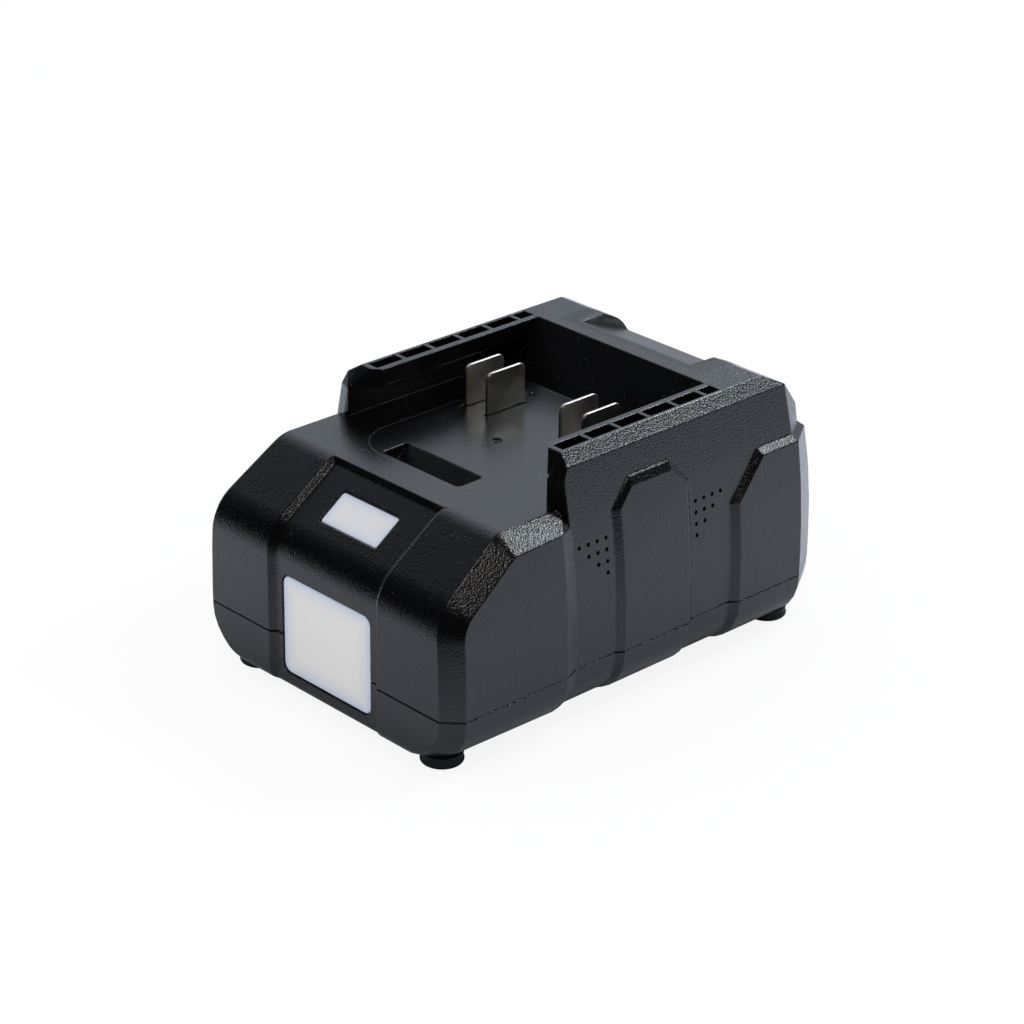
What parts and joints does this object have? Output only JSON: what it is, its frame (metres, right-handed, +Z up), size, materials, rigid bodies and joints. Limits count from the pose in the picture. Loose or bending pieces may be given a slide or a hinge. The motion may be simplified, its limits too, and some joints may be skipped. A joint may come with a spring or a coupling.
{
  "type": "power tool battery charger",
  "caption": "Desktop charger with a sunken bay between two overhanging rails for a slide-on battery, upright contact blades, a status window and a front light.",
  "frame": {"origin": "on the standing surface, under the middle of the case's bounding box", "axes": "+Z up, -Y towards the nose with the front light, where the battery comes in, +Y towards the back with the mains inlet, +X to the right of a viewer who looks along +Y"},
  "size_m": [0.095, 0.135, 0.0715],
  "materials": {
    "case_black": "fine spark-eroded texture, near black",
    "diffuser_white": "translucent white diffuser, smooth",
    "rubber_black": "smooth",
    "contact_nickel": "nickel-plated spring metal",
    "moulding_black": "plain moulded",
    "screw_steel": "zinc-plated",
    "board_green": "solder-masked laminate",
    "fuse_ceramic": "glazed",
    "ferrite_grey": "sintered",
    "copper_wire": "enamelled wire",
    "winding_tape": "yellow polyester tape",
    "capacitor_sleeve": "shrunk sleeve",
    "sink_aluminium": "extruded, satin",
    "chip_black": "moulded epoxy",
    "lamp_cream": "cast resin",
    "light_box_white": "plain moulded",
    "lead_sheath": "insulated wire"
  },
  "bodies": {
    "root": {"upper_case": "case_black", "lower_case": "case_black", "charge_window": "diffuser_white", "front_lens": "diffuser_white", "foot_front_left": "rubber_black", "foot_front_right": "rubber_black", "foot_rear_left": "rubber_black", "foot_rear_right": "rubber_black", "blade_outer_left": "contact_nickel", "blade_inner_left": "contact_nickel", "blade_inner_right": "contact_nickel", "blade_outer_right": "contact_nickel", "contact_block": "moulding_black", "contact_screws": "screw_steel", "main_board": "board_green", "board_screws": "screw_steel", "mains_inlet": "moulding_black", "inlet_pins": "contact_nickel", "fuse": "fuse_ceramic", "mains_choke": "ferrite_grey", "choke_winding": "copper_wire", "bridge_rectifier": "chip_black", "input_capacitor": "capacitor_sleeve", "transformer_core": "ferrite_grey", "transformer_bobbin": "moulding_black", "transformer_winding": "winding_tape", "heat_sink": "sink_aluminium", "power_semiconductors": "chip_black", "output_capacitors": "capacitor_sleeve", "control_chips": "chip_black", "light_board": "board_green", "front_lamps": "lamp_cream", "light_box": "light_box_white", "status_board": "board_green", "status_lamps": "lamp_cream", "case_screws": "screw_steel", "contact_leads": "lead_sheath", "inlet_leads": "lead_sheath", "lamp_leads": "lead_sheath", "status_leads": "lead_sheath"}
  },
  "joints": []
}
